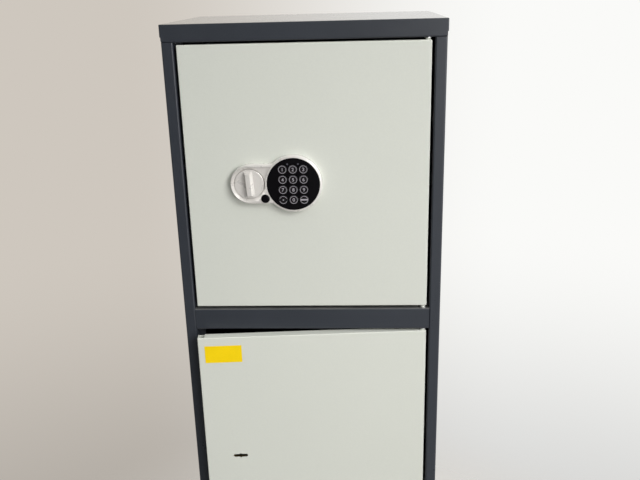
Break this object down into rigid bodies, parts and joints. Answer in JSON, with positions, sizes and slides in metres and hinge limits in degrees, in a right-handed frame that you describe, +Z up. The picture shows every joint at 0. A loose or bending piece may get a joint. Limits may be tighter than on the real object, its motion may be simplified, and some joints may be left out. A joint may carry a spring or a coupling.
{
  "type": "accounting safe cabinet",
  "caption": "Tall narrow steel cabinet with stacked lockable compartments, right-hung light doors in a dark frame, an electronic keypad lock above and key locks below.",
  "frame": {"origin": "centre of the body's footprint, on the floor", "axes": "+Z up, -Y is the front with the doors, +X to the right seen from the front, where the hinges are"},
  "size_m": [0.46, 0.3701, 1.52],
  "materials": {
    "frame_paint": "dark graphite powder coat, fine texture",
    "door_paint": "light warm grey powder coat, satin",
    "plated_steel": "bright zinc plate",
    "silver_plastic": "silver painted plastic, satin",
    "black_gloss": "black, glossy",
    "key_plastic": "black, satin",
    "key_print": "light grey print on the keys",
    "rubber": "matt black",
    "brass": "machined",
    "label_film": "yellow film, satin",
    "circuit_board": "green solder mask",
    "lamp_lens": "smoked",
    "battery_sleeve": "plain sleeve"
  },
  "bodies": {
    "cabinet": {"left_side": "frame_paint", "right_side": "frame_paint", "back_panel": "frame_paint", "top_cap": "frame_paint", "base_pan": "frame_paint", "upper_mid_rail": "frame_paint", "lower_mid_rail": "frame_paint", "upper_floor": "frame_paint", "lower_floor": "frame_paint", "upper_shelf": "frame_paint", "middle_shelf": "frame_paint", "lower_shelf": "frame_paint", "shelf_brackets": "frame_paint", "hinge_bushes": "plated_steel", "door_bumpers": "rubber"},
    "upper_door": {"upper_door_skin": "door_paint", "upper_door_stiffeners": "door_paint", "upper_door_pins": "door_paint", "upper_lock_case": "plated_steel", "lock_bezel": "silver_plastic", "keypad_face": "black_gloss", "keypad_board": "circuit_board", "indicator_lamps": "lamp_lens", "override_barrel": "brass", "solenoid_coil": "plated_steel", "battery_box": "key_plastic", "batteries": "battery_sleeve"},
    "upper_bolt_work": {"upper_bolt_plate": "plated_steel", "upper_bolts": "plated_steel"},
    "knob": {"lock_knob": "silver_plastic", "knob_spindle": "plated_steel"},
    "plunger": {"solenoid_plunger": "plated_steel"},
    "cover_plug": {"lock_cover_plug": "black_gloss"},
    "key_1_cap": {"key_1": "key_plastic"},
    "key_2_cap": {"key_2": "key_plastic"},
    "key_3_cap": {"key_3": "key_plastic"},
    "key_4_cap": {"key_4": "key_plastic"},
    "key_5_cap": {"key_5": "key_plastic"},
    "key_6_cap": {"key_6": "key_plastic"},
    "key_7_cap": {"key_7": "key_plastic"},
    "key_8_cap": {"key_8": "key_plastic"},
    "key_9_cap": {"key_9": "key_plastic"},
    "key_clear_cap": {"key_clear": "key_plastic"},
    "key_0_cap": {"key_0": "key_plastic"},
    "key_confirm_cap": {"key_confirm": "key_plastic"},
    "middle_door": {"middle_door_skin": "door_paint", "middle_door_stiffeners": "door_paint", "middle_door_pins": "door_paint", "middle_lock_case": "plated_steel", "middle_key_guide": "brass", "door_label": "label_film"},
    "middle_bolt_work": {"middle_bolt_plate": "plated_steel", "middle_bolts": "plated_steel"},
    "lower_door": {"lower_door_skin": "door_paint", "lower_door_stiffeners": "door_paint", "lower_door_pins": "door_paint", "lower_lock_case": "plated_steel", "lower_key_guide": "brass"},
    "lower_bolt_work": {"lower_bolt_plate": "plated_steel", "lower_bolts": "plated_steel"}
  },
  "joints": [
    {"name": "upper_door_hinge", "type": "hinge", "parent": "cabinet", "child": "upper_door", "pos_m": [0.1982, -0.163, 1.26], "axis": [0, 0, 1], "range_deg": [0, 105]},
    {"name": "middle_door_hinge", "type": "hinge", "parent": "cabinet", "child": "middle_door", "pos_m": [0.1982, -0.163, 0.7558], "axis": [0, 0, 1], "range_deg": [-4.3, 100.7]},
    {"name": "lower_door_hinge", "type": "hinge", "parent": "cabinet", "child": "lower_door", "pos_m": [0.1982, -0.163, 0.2516], "axis": [0, 0, 1], "range_deg": [0, 105]},
    {"name": "knob_turn", "type": "hinge", "parent": "upper_door", "child": "knob", "pos_m": [-0.0975, -0.17, 1.259], "axis": [0, -1, 0], "range_deg": [0, 90]},
    {"name": "upper_bolt_slide", "type": "slide", "parent": "upper_door", "child": "upper_bolt_work", "axis": [-1, 0, 0], "range_m": [0, 0.015]},
    {"name": "middle_bolt_slide", "type": "slide", "parent": "middle_door", "child": "middle_bolt_work", "axis": [-0.9972, -0.075, 0], "range_m": [0, 0.015]},
    {"name": "lower_bolt_slide", "type": "slide", "parent": "lower_door", "child": "lower_bolt_work", "axis": [-1, 0, 0], "range_m": [0, 0.015]},
    {"name": "plunger_slide", "type": "slide", "parent": "upper_door", "child": "plunger", "axis": [0, 0, 1], "range_m": [0, 0.004]},
    {"name": "cover_plug_pull", "type": "slide", "parent": "upper_door", "child": "cover_plug", "axis": [0, -1, 0], "range_m": [0, 0.007]},
    {"name": "key_1_press", "type": "slide", "parent": "upper_door", "child": "key_1_cap", "axis": [0, 1, 0], "range_m": [0, 0.001], "stiffness_N_per_m": 250, "springref_m": -0.0005},
    {"name": "key_2_press", "type": "slide", "parent": "upper_door", "child": "key_2_cap", "axis": [0, 1, 0], "range_m": [0, 0.001], "stiffness_N_per_m": 250, "springref_m": -0.0005},
    {"name": "key_3_press", "type": "slide", "parent": "upper_door", "child": "key_3_cap", "axis": [0, 1, 0], "range_m": [0, 0.001], "stiffness_N_per_m": 250, "springref_m": -0.0005},
    {"name": "key_4_press", "type": "slide", "parent": "upper_door", "child": "key_4_cap", "axis": [0, 1, 0], "range_m": [0, 0.001], "stiffness_N_per_m": 250, "springref_m": -0.0005},
    {"name": "key_5_press", "type": "slide", "parent": "upper_door", "child": "key_5_cap", "axis": [0, 1, 0], "range_m": [0, 0.001], "stiffness_N_per_m": 250, "springref_m": -0.0005},
    {"name": "key_6_press", "type": "slide", "parent": "upper_door", "child": "key_6_cap", "axis": [0, 1, 0], "range_m": [0, 0.001], "stiffness_N_per_m": 250, "springref_m": -0.0005},
    {"name": "key_7_press", "type": "slide", "parent": "upper_door", "child": "key_7_cap", "axis": [0, 1, 0], "range_m": [0, 0.001], "stiffness_N_per_m": 250, "springref_m": -0.0005},
    {"name": "key_8_press", "type": "slide", "parent": "upper_door", "child": "key_8_cap", "axis": [0, 1, 0], "range_m": [0, 0.001], "stiffness_N_per_m": 250, "springref_m": -0.0005},
    {"name": "key_9_press", "type": "slide", "parent": "upper_door", "child": "key_9_cap", "axis": [0, 1, 0], "range_m": [0, 0.001], "stiffness_N_per_m": 250, "springref_m": -0.0005},
    {"name": "key_clear_press", "type": "slide", "parent": "upper_door", "child": "key_clear_cap", "axis": [0, 1, 0], "range_m": [0, 0.001], "stiffness_N_per_m": 250, "springref_m": -0.0005},
    {"name": "key_0_press", "type": "slide", "parent": "upper_door", "child": "key_0_cap", "axis": [0, 1, 0], "range_m": [0, 0.001], "stiffness_N_per_m": 250, "springref_m": -0.0005},
    {"name": "key_confirm_press", "type": "slide", "parent": "upper_door", "child": "key_confirm_cap", "axis": [0, 1, 0], "range_m": [0, 0.001], "stiffness_N_per_m": 250, "springref_m": -0.0005}
  ],
  "couplings": [
    {"joint": "knob_turn", "follows": "upper_bolt_slide", "rad_per_m": 104.72}
  ]
}
